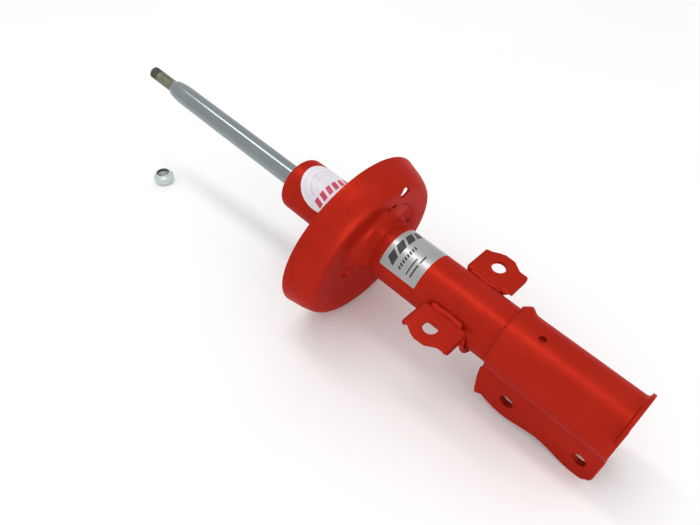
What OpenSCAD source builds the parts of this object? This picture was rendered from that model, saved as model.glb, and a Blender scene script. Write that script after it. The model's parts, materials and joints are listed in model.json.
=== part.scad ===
// Suspension strut: a twin-tube gas damper with a spring seat, a stabiliser link bracket
// and a knuckle bracket, and the loose lock nut for its top stud.
// Frame: +X runs along the strut from the top stud to the knuckle end, +Z points away from
// the knuckle flanges, +Y runs along the knuckle bolts. Origin: midway between the bolt holes.

/* [Overall] */
// Length from the stud's tip to the bottom edge of the knuckle bracket
overall_length = 566; // [560:1:576]
// Height of the strut's axis above the line of the knuckle bolts
axis_z = 44; // [42:0.5:48]
// Travel of the rod from full extension to the bump stop
stroke = 150; // [60:1:152]

/* [Tube] */
// Outer diameter of the body tube
tube_d = 50; // [49:0.1:51]
// Wall of the body tube
tube_wall = 2; // [1.6:0.1:2.2]
// Distance from the stud's tip to the top of the body tube, fully extended
tube_top_at = 223.5; // [222:0.5:226]

/* [Rod] */
// Diameter of the piston rod
rod_d = 20; // [19:0.1:20]
// Major diameter of the stud's thread
stud_d = 12; // [10:0.5:12]
// Length of the stud up to the rod's shoulder
stud_length = 36; // [30:1:40]
// Length of the rounded shoulder between stud and rod
shoulder_length = 21; // [12:1:24]

/* [Spring seat] */
// Diameter of the seat's upper rim
seat_rim_d = 162; // [152:1:164]
// Depth of the pan from its rim to its lowest edge
seat_depth = 29; // [26:1:32]
// Tilt of the seat away from square to the strut
seat_tilt = 6.6; // [5:0.1:8]
// Offset of the seat's centre from the strut's axis
seat_offset = 14; // [10:0.25:15]
// Sheet thickness of the seat
seat_sheet = 2.4; // [2:0.1:3]

/* [Brackets] */
// Sheet thickness of the pressed brackets
sheet = 3; // [2.5:0.1:3]

/* [Link bracket] */
// Distance between the two link holes
link_spacing = 87.2; // [84:0.1:90]
// Diameter of the link holes
link_hole_d = 12.2; // [10:0.1:13]
// Height of the ears' face above the strut's axis
ear_height = 12.2; // [10:0.1:13]

/* [Knuckle bracket] */
// Distance between the two knuckle bolts
bolt_spacing = 67; // [64:0.5:70]
// Diameter of the knuckle bolt holes
bolt_hole_d = 12.2; // [10:0.1:14]
// Gap between the two flanges, without the doubler plates inside them
flange_gap = 30; // [28:1:32]

/* [Lock nut] */
// Width across the nut's flats
nut_af = 19; // [18:0.5:19]
// Height of the nut with its locking ring
nut_height = 12; // [10:0.5:14]

/* [Hidden] */

$fn = 96;
fit = 0.05;                 // radial gap where two fixed pieces meet
running = 0.03;             // radial gap where the rod slides
step = 0.2;                 // overshoot of a cut past a face

tube_r = tube_d / 2;
bore_r = tube_r - tube_wall;
rod_r = rod_d / 2;
stud_r = stud_d / 2;
wrap_r = tube_r + sheet;

bottom_x = 50;
tip_x = bottom_x - overall_length;
tube_top_x = tip_x + tube_top_at;
tube_end_x = bottom_x - 5;
shoulder_x = tip_x + stud_length;

// Rod guide stack, below the tube's rolled lip
lip_x = tube_top_x + tube_wall;
seal_x = lip_x + 2;
seal_end_x = seal_x + 7;
guide_step_x = seal_x + 16;
guide_end_x = seal_x + 30;
barrel_r = 16;              // bore of the pressure tube
barrel_wall = 1.5;
barrel_end_x = 22;

// Piston stack, counted from the end of the rod's full diameter
bumper_x = guide_end_x + 0.5;
stop_x = bumper_x + 10;
spigot_x = tube_top_x + 96.5;
spigot_r = 5.5;
piston_x = spigot_x + 6;
piston_length = 20;
band_length = 10;
discs_x = piston_x + piston_length;
disc_t = 0.4;
spacer_x = discs_x + 4 * disc_t;
nut_x = spacer_x + 3;
spigot_end_x = nut_x + 9.4;
foot_pin_x = 5.5;
assert(spigot_end_x + stroke < foot_pin_x, "the rod would hit the foot valve");

// Spring seat
seat_x = tip_x + 289;
seat_z = axis_z - seat_offset;
seat_r = seat_rim_d / 2;
web_z = seat_depth * 0.9;   // plane of the web's underside
// Each vent slot in the web: its angle and radius, its length, and its turn away from square
slots = [[14, 50.5, 12, 0], [78, 47.5, 12, 0], [237, 26, 24, 28]];
slot_width = 2.4;
drain_angle = 20;
drain_at_r = 66.5;
drain_r = 5;
collar_x = seat_x + 23.5;
collar_end_x = seat_x + 45;

// Link bracket
link_x = tip_x + 414.3;
link_top_x = tip_x + 394;
link_end_x = tip_x + 437.5;
ear_z = axis_z + ear_height;
ear_lobe_r = 15.3;
ear_tip_y = 52;
edge_depth = 8;

// Knuckle bracket
bracket_top_x = bottom_x - 108.5;
flange_in = flange_gap / 2;
flange_out = flange_in + sheet;
doubler_corner = 10;

// Labels
foil_x = tip_x + 343;
foil_length = 37.5;
foil_half_angle = 68;
round_x = tip_x + 264.3;
round_r = 28.5;
label_t = 0.12;

// Lock nut, lying on the plane that the seat's rim and the bracket's flanges rest on
bench_tilt = 6.47;
nut_at = [tip_x + 22.6, -24, axis_z - 123.4];
ring_t = 2.4;

red = [0.69, 0.13, 0.09];
steel = [0.72, 0.74, 0.76];
dark = [0.25, 0.26, 0.27];
polymer = [0.15, 0.15, 0.16];

// Places children drawn around local Z so that they lie around the strut's axis
module along_x() {
    translate([0, 0, axis_z]) rotate([0, 90, 0]) children();
}

// Solid of revolution about the strut's axis from [x, radius] points
module turned(points) {
    along_x() rotate_extrude() polygon([for (p = points) [p[1], p[0]]]);
}

// Plain ring about the strut's axis
module ring(x0, x1, r_in, r_out) {
    turned([[x0, r_in], [x1, r_in], [x1, r_out], [x0, r_out]]);
}

// Part of a ring, centred on +Z and spreading half_angle to each side
module ring_sector(points, half_angle, centre = 0) {
    along_x() rotate([0, 0, 180 - centre - half_angle])
        rotate_extrude(angle = 2 * half_angle) polygon([for (p = points) [p[1], p[0]]]);
}

// Cylinder along the strut's axis, used to clear the tube
module axis_cylinder(x0, x1, r) {
    along_x() translate([0, 0, x0]) cylinder(r = r, h = x1 - x0);
}

// Outline with one rounded outer corner, for the closed end of the tube
module rounded_end(r, length, corner) {
    square([r - corner, length]);
    translate([0, corner]) square([r, length - corner]);
    translate([r - corner, corner]) circle(corner);
}

// Holes on a circle, along the strut's axis
module passages(count, at_r, r, x0, x1, turn = 0) {
    for (i = [0:count - 1])
        along_x() rotate([0, 0, turn + 360 * i / count]) translate([at_r, 0, x0])
            cylinder(r = r, h = x1 - x0);
}

// ---- Body ----

module outer_tube() {
    length = tube_end_x - tube_top_x;
    color(red) along_x() translate([0, 0, tube_top_x]) rotate_extrude() difference() {
        rounded_end(tube_r, length, 5);
        translate([0, tube_wall]) rounded_end(bore_r, length, 5 - tube_wall);
        translate([0, -step]) square([13, length]);
    }
}

module base_cap() {
    inner = bore_r - fit;
    wall = inner - sheet;
    color(red) turned([[34, 0], [34, inner], [43, inner], [43, wall], [37.5, wall], [37.5, 0]]);
}

module seal_cap() {
    color(dark) turned([
        [lip_x, rod_r + 1], [seal_x, rod_r + 1], [seal_x, bore_r - 0.3],
        [lip_x + 1, bore_r - 0.9], [lip_x + 0.5, bore_r - 1.5], [lip_x, bore_r - 3.1]
    ]);
}

module rod_seal() {
    inner = rod_r + running;
    color(polymer) turned([
        [seal_x, inner + 1.5], [seal_x + 1.5, inner], [seal_x + 3, inner + 1], [seal_x + 4.5, inner + 1],
        [seal_end_x - 1, inner], [seal_end_x, inner + 1], [seal_end_x, 18.9], [seal_x, 18.9]
    ]);
}

module rod_guide() {
    outer = bore_r - fit;
    bush_seat = rod_r + 1.5;
    color(dark) turned([
        [seal_x, 19], [seal_end_x, 19], [seal_end_x, bush_seat], [guide_end_x, bush_seat],
        [guide_end_x, barrel_r - fit], [guide_step_x, barrel_r - fit], [guide_step_x, outer],
        [seal_x + 1, outer], [seal_x, outer - 0.25]
    ]);
}

module guide_bush() {
    color(steel) ring(seal_end_x + 1, guide_end_x - 2, rod_r + running, rod_r + 1.5 - fit);
}

module pressure_tube() {
    color(steel) ring(guide_step_x + 0.1, barrel_end_x, barrel_r, barrel_r + barrel_wall);
}

// ---- Spring seat ----

// Places children in the seat's own frame: local Z is the pan's axis, towards the knuckle
module in_seat() {
    translate([seat_x, 0, seat_z]) rotate([0, 90 + seat_tilt, 0]) children();
}

// The pressed pan's section: one sheet with a steep skirt, a flat groove for the coil and a raised web
module pan_section() {
    d = seat_depth;
    t = seat_sheet;
    polygon([
        [seat_r, 0], [seat_r - 3.5, d * 0.52], [seat_r - 6.3, d * 0.78], [seat_r - 8.8, d * 0.92],
        [seat_r - 12, d], [seat_r - 24, d], [seat_r - 30, d * 0.965], [seat_r - 36, d * 0.92],
        [seat_r - 42, web_z], [0, web_z],
        [0, web_z - t], [seat_r - 41.6, web_z - t], [seat_r - 35.7, d * 0.92 - t],
        [seat_r - 29.7, d * 0.965 - t], [seat_r - 23.7, d - t],
        [seat_r - 13, d - t], [seat_r - 11, d * 0.91 - t], [seat_r - 8.8, d * 0.72],
        [seat_r - 6, d * 0.5], [seat_r - t, 0]
    ]);
}

module spring_seat() {
    neck = collar_x;
    color(red) difference() {
        union() {
            in_seat() difference() {
                rotate_extrude() pan_section();
                for (slot = slots)
                    rotate([0, 0, 180 - slot[0]]) translate([slot[1], 0, 0]) rotate([0, 0, slot[3]])
                        translate([0, -slot[2] / 2, 0]) cube([slot_width, slot[2], seat_depth + 5]);
                rotate([0, 0, 180 - drain_angle]) translate([drain_at_r, 0, 10])
                    cylinder(r = drain_r, h = seat_depth);
            }
            intersection() {
                turned([
                    [neck - 4, 0], [neck - 4, 33], [neck + 7, 33], [neck + 9.5, 30.5],
                    [neck + 13, 28.4], [neck + 17, 26.9], [collar_end_x, 25.9], [collar_end_x, 0]
                ]);
                in_seat() translate([0, 0, web_z - seat_sheet / 2]) cylinder(r = 60, h = 60);
            }
        }
        axis_cylinder(seat_x - 60, seat_x + 80, tube_r + fit);
    }
}

module spring_seat_weld() {
    bead_x = collar_end_x + 0.1;
    inner = tube_r + fit;
    color(red) turned([
        [bead_x, inner], [bead_x + 2.5, inner], [bead_x + 1.6, inner + 0.5], [bead_x, inner + 0.8]
    ]);
}

// ---- Stabiliser link bracket ----

// One ear seen from +Z, with a round lobe about its hole and a straight stiffened part
module ear_outline() {
    translate([link_x, link_spacing / 2]) circle(ear_lobe_r);
    translate([link_top_x, tube_r - 6]) square([link_end_x - link_top_x, ear_tip_y - 1.5 - tube_r + 6]);
}

module link_bracket() {
    low = ear_z - edge_depth;
    color(red) difference() {
        union() {
            for (side = [-1, 1])
                scale([1, side, 1]) {
                    translate([0, 0, ear_z - sheet]) linear_extrude(sheet) ear_outline();
                    for (x = [link_top_x, link_end_x - sheet])
                        translate([x, tube_r - 6, low])
                            cube([sheet, ear_tip_y - tube_r + 6, edge_depth - 0.5]);
                }
            difference() {
                union() {
                    axis_cylinder(link_top_x, link_end_x, wrap_r);
                    for (x = [link_top_x, link_end_x - sheet])
                        axis_cylinder(x, x + sheet, wrap_r + 5);
                }
                translate([link_top_x - 1, -60, ear_z - 0.5]) cube([60, 120, 60]);
            }
        }
        axis_cylinder(link_top_x - 1, link_end_x + 1, tube_r + fit);
        for (side = [-1, 1])
            translate([link_x, side * link_spacing / 2, ear_z - 10]) cylinder(d = link_hole_d, h = 20);
    }
}

module link_bracket_welds() {
    bead_y = sqrt(pow(tube_r, 2) - pow(ear_height, 2)) + 1.2;
    color(red) for (side = [-1, 1])
        difference() {
            translate([link_top_x + 6, side * bead_y, ear_z + 0.9]) rotate([0, 90, 0])
                cylinder(r = 2.8, h = link_end_x - link_top_x - 12);
            axis_cylinder(link_top_x - 1, link_end_x + 1, tube_r + fit);
            translate([link_top_x - 1, -60, ear_z - 10]) cube([60, 120, 10 + fit]);
        }
}

// ---- Knuckle bracket ----

// Lower edge of a flange: a lobe under each bolt and a waist between them
function flange_edge(x) = -(17 - 3 * cos(360 * x / bolt_spacing));

// One flange seen along Y
module flange_outline() {
    top = bracket_top_x;
    polygon(concat(
        [[top, axis_z - 15], [top - 1, 0], [top, -17], [top + 1.5, -17]],
        [for (x = [top + 5:3:bottom_x - 3]) [x, flange_edge(x)]],
        [[bottom_x - 1.2, -11.5], [bottom_x - 0.5, 0], [bottom_x - 0.5, axis_z - 15]]
    ));
}

module knuckle_bracket() {
    top = bracket_top_x;
    lip_end = bottom_x - 1.7;
    color(red) difference() {
        union() {
            difference() {
                axis_cylinder(top, lip_end, wrap_r);
                translate([top - 1, -flange_in, -10]) cube([120, flange_gap, axis_z]);
            }
            for (side = [-1, 1]) {
                translate([0, side * (flange_in + sheet / 2) + sheet / 2, 0]) rotate([90, 0, 0])
                    linear_extrude(sheet) flange_outline();
                translate([top - 1, side * (flange_out + 1) - 2, -17]) cube([sheet, 4, 38]);
                translate([bottom_x - 3, side * (flange_out + 0.5) - 1.5, -11.5]) cube([2.5, 3, 14]);
            }
            ring_sector([
                [lip_end - 5.5, wrap_r - 1], [lip_end - 3, wrap_r + 4],
                [lip_end, wrap_r + 4], [lip_end, wrap_r - 1]
            ], 63);
            ring_sector([
                [top, wrap_r - 1], [top, wrap_r + 4], [top + 3, wrap_r + 4], [top + 7, wrap_r - 1]
            ], 13, 38);
        }
        axis_cylinder(top - 5, bottom_x + 1, tube_r + fit);
        for (side = [-1, 1])
            translate([side * bolt_spacing / 2, 30, 0]) rotate([90, 0, 0]) cylinder(d = bolt_hole_d, h = 60);
        translate([bottom_x - 83, -1.5, axis_z]) cylinder(r = 3, h = 40);
    }
}

// A pair of plates inside the flanges, which the bolts pass through too
module knuckle_doublers() {
    clearance = 0.05;
    color(red) difference() {
        for (side = [-1, 1])
            translate([0, side * (flange_in - clearance - sheet / 2) + sheet / 2, 0]) rotate([90, 0, 0])
                linear_extrude(sheet) hull()
                    for (x = [-1, 1], z = [-5, 8])
                        translate([x * (bolt_spacing / 2 + 1), z]) circle(doubler_corner);
        for (side = [-1, 1])
            translate([side * bolt_spacing / 2, 30, 0]) rotate([90, 0, 0]) cylinder(d = bolt_hole_d, h = 60);
    }
}

module knuckle_bracket_welds() {
    bead_z = axis_z - sqrt(pow(tube_r, 2) - pow(flange_in, 2)) - 0.6;
    top = bracket_top_x;
    color(red) {
        for (side = [-1, 1])
            difference() {
                translate([-45, side * (flange_in - 1.2), bead_z]) rotate([0, 90, 0])
                    cylinder(r = 2.4, h = 84);
                axis_cylinder(-60, bottom_x, tube_r + fit);
                translate([-60, side > 0 ? flange_in - fit : -30 - flange_in + fit, 0])
                    cube([120, 30, axis_z]);
            }
        ring_sector([
            [top - 2.6, tube_r + fit], [top - 0.1, tube_r + fit],
            [top - 0.1, tube_r + 1.5], [top - 2, tube_r + 0.9]
        ], 18, -2);
    }
}

// ---- Labels ----

module foil_label() {
    r = tube_r + 0.02;
    color(steel) ring_sector([
        [foil_x, r], [foil_x + foil_length, r], [foil_x + foil_length, r + label_t], [foil_x, r + label_t]
    ], foil_half_angle);
}

// A round sticker keeps its size along the tube's surface, so seen from above it is narrower
module round_label() {
    r = tube_r + 0.02;
    reach = round_r + 1;
    color("white") intersection() {
        ring_sector([
            [round_x - reach, r], [round_x + reach, r],
            [round_x + reach, r + label_t], [round_x - reach, r + label_t]
        ], 75);
        translate([round_x, 0, axis_z]) linear_extrude(60) polygon([
            for (a = [0:7.5:352.5])
                [round_r * cos(a), 1.01 * tube_r * sin(round_r * sin(a) / tube_r * 180 / PI)]
        ]);
    }
}

// ---- Foot valve ----

module foot_valve_body() {
    skirt_r = 20;
    shoulder = barrel_end_x + 0.1;
    color(dark) difference() {
        turned([
            [12, 3 + fit], [12, barrel_r - fit], [shoulder, barrel_r - fit],
            [shoulder, skirt_r], [33.9, skirt_r],
            [33.9, skirt_r - 2], [27, skirt_r - 2], [27, 3 + fit]
        ]);
        passages(6, 11, 1.6, 10, 30);
        passages(4, 6.2, 0.9, 10, 30);
        for (a = [0:90:270])
            along_x() rotate([0, 0, a]) translate([skirt_r - 1, 0, 32]) cube([6, 6, 4.1], center = true);
    }
}

module foot_valve_pin() {
    color(steel) turned([
        [foot_pin_x, 0], [foot_pin_x, 11], [7, 11], [7, 8], [11.9, 8],
        [11.9, 3], [28.3, 3], [28.3, 5], [31, 5], [31, 0]
    ]);
}

module foot_valve_discs() {
    color(steel) turned([[27.1, 3 + fit], [27.1, 9], [27.7, 9], [27.7, 7], [28.2, 7], [28.2, 3 + fit]]);
}

module foot_check_spring() {
    color(steel) turned([[7.1, 8.05], [7.1, 10], [9.2, 13.2], [9.5, 13.2], [7.5, 9.8], [7.5, 8.05]]);
}

module foot_check_plate() {
    color(steel) difference() {
        ring(10.9, 11.7, 8.3, 14);
        passages(4, 10, 1, 10, 12.5, 30);
    }
}

// ---- Rod and piston ----

// Rounded shoulder from the stud to the rod, as a quarter of an ellipse
function shoulder_points(n = 10) = [
    for (i = [0:n]) [
        shoulder_x + shoulder_length * (1 - cos(90 * i / n)),
        stud_r + 0.7 + (rod_r - stud_r - 0.7) * sin(90 * i / n)
    ]
];

module piston_rod() {
    color(steel) difference() {
        turned(concat(
            [[tip_x, 0], [tip_x, stud_r - 1.2], [tip_x + 1.2, stud_r], [shoulder_x, stud_r]],
            shoulder_points(),
            [[spigot_x, rod_r], [spigot_x, spigot_r], [spigot_end_x - 1, spigot_r]],
            [[spigot_end_x, spigot_r - 1], [spigot_end_x, 0]]
        ));
        translate([tip_x - step, 0, axis_z]) rotate([0, 90, 0]) cylinder(r = 3.2, h = 8, $fn = 6);
    }
}

module rebound_bumper() {
    color(polymer) turned([
        [bumper_x, rod_r + 0.1], [bumper_x, 14], [bumper_x + 1, 15],
        [stop_x - 1.1, 15], [stop_x - 0.1, 14], [stop_x - 0.1, rod_r + 0.1]
    ]);
}

module rebound_stop() {
    color(steel) ring(stop_x, stop_x + 4.5, rod_r + 0.02, 14.5);
}

module valve_washer() {
    bore = spigot_r + fit;
    color(steel) turned([
        [spigot_x + 0.05, bore], [spigot_x + 0.05, 14], [spigot_x + 1.5, 14], [spigot_x + 1.5, 9],
        [piston_x - 0.05, 9], [piston_x - 0.05, bore]
    ]);
}

module check_spring() {
    x = spigot_x + 1.6;
    color(steel) turned([
        [x, 9.05], [x, 10.5], [x + 1.8, 13.6], [x + 2.1, 13.6], [x + 0.4, 10.3], [x + 0.4, 9.05]
    ]);
}

module check_plate() {
    color(steel) difference() {
        ring(piston_x - 1, piston_x - 0.3, 9.3, 14.4);
        passages(4, 10.8, 0.9, piston_x - 2, piston_x, 30);
    }
}

module piston() {
    bore = spigot_r + fit;
    groove = (piston_length - band_length - 0.4) / 2;
    land_r = 15.7;
    color(dark) difference() {
        turned([
            [piston_x, bore], [piston_x, land_r], [piston_x + groove, land_r], [piston_x + groove, 14.6],
            [discs_x - groove, 14.6], [discs_x - groove, land_r],
            [discs_x - 0.05, land_r], [discs_x - 0.05, bore]
        ]);
        passages(6, 11.6, 1.3, piston_x - 1, discs_x + 1);
        passages(6, 8.6, 1, piston_x + 4, discs_x + 1, 30);
    }
}

module piston_band() {
    middle = discs_x - piston_length / 2;
    color(polymer) ring(middle - band_length / 2, middle + band_length / 2, 14.65, barrel_r - 0.04);
}

module rebound_discs() {
    bore = spigot_r + fit;
    color(steel) turned([
        [discs_x, bore], [discs_x, 13.4], [discs_x + disc_t, 13.4], [discs_x + disc_t, 12],
        [discs_x + 2 * disc_t, 12], [discs_x + 2 * disc_t, 10.5], [discs_x + 3 * disc_t, 10.5],
        [discs_x + 3 * disc_t, 9], [spacer_x - 0.05, 9], [spacer_x - 0.05, bore]
    ]);
}

module disc_spacer() {
    color(steel) ring(spacer_x, nut_x - 0.05, spigot_r + fit, 8);
}

module piston_nut() {
    color(steel) difference() {
        translate([nut_x, 0, axis_z]) rotate([0, 90, 0]) cylinder(r = 18 / sqrt(3), h = 8, $fn = 6);
        axis_cylinder(nut_x - 1, nut_x + 9, spigot_r + fit);
    }
}

// ---- Loose lock nut ----

// Places children on the resting plane, with local Z square to it
module on_bench() {
    translate(nut_at) rotate([0, -bench_tilt, 0]) children();
}

module top_nut() {
    body = nut_height - ring_t;
    corner_r = nut_af / sqrt(3);
    flat_r = nut_af / 2;
    color(steel) on_bench() difference() {
        union() {
            intersection() {
                rotate([0, 0, 10]) cylinder(r = corner_r, h = body, $fn = 6);
                rotate_extrude() polygon([
                    [0, -1], [flat_r - 1.2, -1], [corner_r + 1, 1.8], [corner_r + 1, body - 2.4],
                    [flat_r - 1.1, body + 0.3], [0, body + 0.3]
                ]);
            }
            rotate_extrude() polygon([
                [0, body - 1], [8.2, body - 1], [8.2, nut_height - 0.8], [7.5, nut_height], [0, nut_height]
            ]);
        }
        translate([0, 0, -1]) cylinder(r = stud_r - 0.65, h = nut_height + 2);
        translate([0, 0, body - 0.8]) cylinder(r = 7.1, h = ring_t + 0.2);
        translate([0, 0, body]) cylinder(r = 6.7, h = ring_t + 1);
    }
}

module nut_locking_ring() {
    color(polymer) on_bench() translate([0, 0, nut_height - ring_t - 0.75]) difference() {
        cylinder(r = 7.05, h = ring_t - 0.1);
        translate([0, 0, -1]) cylinder(r = stud_r - 0.4, h = ring_t + 2);
    }
}

outer_tube();
base_cap();
seal_cap();
rod_seal();
rod_guide();
guide_bush();
pressure_tube();
spring_seat();
spring_seat_weld();
link_bracket();
link_bracket_welds();
knuckle_bracket();
knuckle_doublers();
knuckle_bracket_welds();
foil_label();
round_label();
foot_valve_body();
foot_valve_pin();
foot_valve_discs();
foot_check_spring();
foot_check_plate();
piston_rod();
rebound_bumper();
rebound_stop();
valve_washer();
check_spring();
check_plate();
piston();
piston_band();
rebound_discs();
disc_spacer();
piston_nut();
top_nut();
nut_locking_ring();
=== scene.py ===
import json
import math

import bmesh
import bpy
import numpy as np
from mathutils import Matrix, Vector, geometry


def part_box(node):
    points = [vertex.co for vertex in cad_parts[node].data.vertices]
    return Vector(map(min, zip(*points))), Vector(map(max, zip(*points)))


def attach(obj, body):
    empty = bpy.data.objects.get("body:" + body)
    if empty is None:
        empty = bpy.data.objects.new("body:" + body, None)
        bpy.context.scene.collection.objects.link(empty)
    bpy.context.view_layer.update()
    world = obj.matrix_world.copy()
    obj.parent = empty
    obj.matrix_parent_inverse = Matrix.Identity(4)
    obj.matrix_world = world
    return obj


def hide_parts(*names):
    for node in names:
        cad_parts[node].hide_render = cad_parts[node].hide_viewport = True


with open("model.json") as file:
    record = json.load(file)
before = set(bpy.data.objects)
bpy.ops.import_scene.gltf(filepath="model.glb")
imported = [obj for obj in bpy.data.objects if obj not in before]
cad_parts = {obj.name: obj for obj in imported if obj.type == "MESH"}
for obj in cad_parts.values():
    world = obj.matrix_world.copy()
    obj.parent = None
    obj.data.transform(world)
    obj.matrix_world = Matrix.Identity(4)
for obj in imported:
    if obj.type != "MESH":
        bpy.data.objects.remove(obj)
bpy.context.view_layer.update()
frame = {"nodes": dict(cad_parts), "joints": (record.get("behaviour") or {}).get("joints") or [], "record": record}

MM = 0.001


# ---------------------------------------------------------------- measures (mm), mostly from the frame

def low(node):
    return np.array(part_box(node)[0]) / MM


def high(node):
    return np.array(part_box(node)[1]) / MM


MOUNTS = {m["name"]: m for m in frame["record"]["mounts"]}
TUBE_R = (high("outer_tube")[1] - low("outer_tube")[1]) / 2
AXIS_Z = (high("outer_tube")[2] + low("outer_tube")[2]) / 2
TUBE_TOP = low("outer_tube")[0]
TUBE_END = high("outer_tube")[0]
ROD_R = (high("piston_rod")[1] - low("piston_rod")[1]) / 2
ROD_TIP = low("piston_rod")[0]
ROD_END = high("piston_rod")[0]
STUD_R = MOUNTS["top_stud"]["dims"]["r_mm"]
STUD_END = ROD_TIP + 36
STUD_DARK_TO = ROD_TIP + 11
SHOULDER_LENGTH = 21.0
SPIGOT_X = low("valve_washer")[0]
BOLT_R = MOUNTS["knuckle_bolts"]["dims"]["hole_r_mm"]
BOLT_X = MOUNTS["knuckle_bolts"]["dims"]["spacing_x_mm"] / 2
LINK_R = MOUNTS["link_holes"]["dims"]["hole_r_mm"]
LINK_Y = MOUNTS["link_holes"]["dims"]["spacing_y_mm"] / 2
LINK_X = MOUNTS["link_holes"]["pos_m"][0] / MM
EAR_UP = MOUNTS["link_holes"]["pos_m"][2] / MM - AXIS_Z
SEAT_AXIS = -np.array(MOUNTS["spring_perch"]["axis"])
BRACKET_END = high("knuckle_bracket")[0]
SHEET = 3.0
GAP = 0.05
THREAD_PITCH = 1.5


# ---------------------------------------------------------------- node materials

class Mat:
    """A Principled material whose nodes are added by short calls."""

    def __init__(self, name):
        self.mat = bpy.data.materials.new(name)
        self.mat.use_nodes = True
        self.tree = self.mat.node_tree
        self.bsdf = self.tree.nodes["Principled BSDF"]
        self.coord = self.tree.nodes.new("ShaderNodeTexCoord").outputs["Object"]

    def new(self, kind, **values):
        node = self.tree.nodes.new(kind)
        for key, value in values.items():
            node.inputs[key.replace("_", " ")].default_value = value
        return node

    def link(self, out, into):
        self.tree.links.new(out, into)

    def noise(self, scale, detail=3.0, stretch=(1, 1, 1)):
        mapping = self.new("ShaderNodeMapping", Scale=stretch)
        self.link(self.coord, mapping.inputs["Vector"])
        node = self.new("ShaderNodeTexNoise", Scale=scale, Detail=detail)
        self.link(mapping.outputs["Vector"], node.inputs["Vector"])
        return node.outputs["Fac"]

    def ramp(self, fac, dark, light):
        node = self.new("ShaderNodeValToRGB")
        for element, at, colour in zip(node.color_ramp.elements, (0.3, 0.7), (dark, light)):
            element.position = at
            element.color = (*colour, 1)
        self.link(fac, node.inputs["Fac"])
        return node.outputs["Color"]

    def spread(self, fac, to_min, to_max):
        node = self.new("ShaderNodeMapRange", From_Min=0.3, From_Max=0.7, To_Min=to_min, To_Max=to_max)
        self.link(fac, node.inputs["Value"])
        return node.outputs["Result"]

    def bump(self, *layers):
        """Each layer is a height output, a strength and a distance in metres."""
        previous = None
        for height, strength, distance in layers:
            node = self.new("ShaderNodeBump", Strength=strength, Distance=distance)
            self.link(height, node.inputs["Height"])
            if previous:
                self.link(previous, node.inputs["Normal"])
            previous = node.outputs["Normal"]
        self.link(previous, self.bsdf.inputs["Normal"])

    def set(self, **values):
        for key, value in values.items():
            self.bsdf.inputs[key.replace("_", " ")].default_value = value
        return self

    def colour(self, fac, dark, light):
        self.link(self.ramp(fac, dark, light), self.bsdf.inputs["Base Color"])

    def rough(self, fac, smoothest, roughest):
        self.link(self.spread(fac, smoothest, roughest), self.bsdf.inputs["Roughness"])


def red_paint():
    """Enamel with a slight orange peel."""
    m = Mat("red_paint").set(Metallic=0.5, Specular_IOR_Level=0.1, Specular_Tint=(1, 0.22, 0.14, 1), IOR=1.45)
    m.colour(m.noise(38, 4), (0.362, 0.0165, 0.0078), (0.408, 0.0208, 0.0102))
    m.rough(m.noise(120, 4), 0.34, 0.42)
    m.bump((m.noise(620, 2), 0.12, 0.0003), (m.noise(90, 3), 0.12, 0.0006))
    return m.mat


def rod_chrome():
    """Chrome with fine grinding lines round the rod."""
    m = Mat("rod_chrome").set(Metallic=1.0)
    m.colour(m.noise(30, 3), (0.235, 0.268, 0.28), (0.27, 0.302, 0.312))
    lines = m.noise(60, 2, (40, 1, 1))
    m.rough(lines, 0.15, 0.21)
    m.bump((lines, 0.02, 0.0001))
    return m.mat


def metal(name, dark, light, rough, grain, stretch=(1, 1, 1), strength=0.12):
    m = Mat(name).set(Metallic=1.0)
    m.colour(m.noise(grain / 8, 4), dark, light)
    m.rough(m.noise(grain / 2, 4, stretch), *rough)
    m.bump((m.noise(grain, 3, stretch), strength, 0.0001))
    return m.mat


def plain(name, dark, light, rough, grain, strength=0.15):
    m = Mat(name)
    m.colour(m.noise(grain / 6, 4), dark, light)
    m.rough(m.noise(grain / 2, 4), *rough)
    m.bump((m.noise(grain, 3), strength, 0.0001))
    return m.mat


# Each look: the dark and the light colour, the roughness from least to most, and the grain. A metal can
# add a stretch of the grain, and both can end with the strength of the bump.
METALS = {
    "stud_dark": ((0.06, 0.057, 0.045), (0.15, 0.14, 0.11), (0.35, 0.6), 3000),
    "stud_olive": ((0.15, 0.145, 0.10), (0.27, 0.262, 0.20), (0.3, 0.5), 3000),
    "nut_zinc": ((0.52, 0.585, 0.56), (0.62, 0.69, 0.665), (0.28, 0.4), 900),
    "label_foil": ((0.36, 0.362, 0.355), (0.44, 0.443, 0.435), (0.30, 0.40), 400, (1, 30, 30), 0.05),
    "sintered_iron": ((0.13, 0.13, 0.14), (0.24, 0.24, 0.25), (0.4, 0.6), 1600, (1, 1, 1), 0.4),
    "drawn_steel": ((0.48, 0.49, 0.50), (0.58, 0.59, 0.60), (0.2, 0.35), 700, (25, 1, 1)),
    "spring_steel": ((0.38, 0.39, 0.42), (0.50, 0.51, 0.54), (0.25, 0.4), 900),
    "bush_bronze": ((0.40, 0.28, 0.14), (0.52, 0.38, 0.20), (0.25, 0.4), 900),
}
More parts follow.
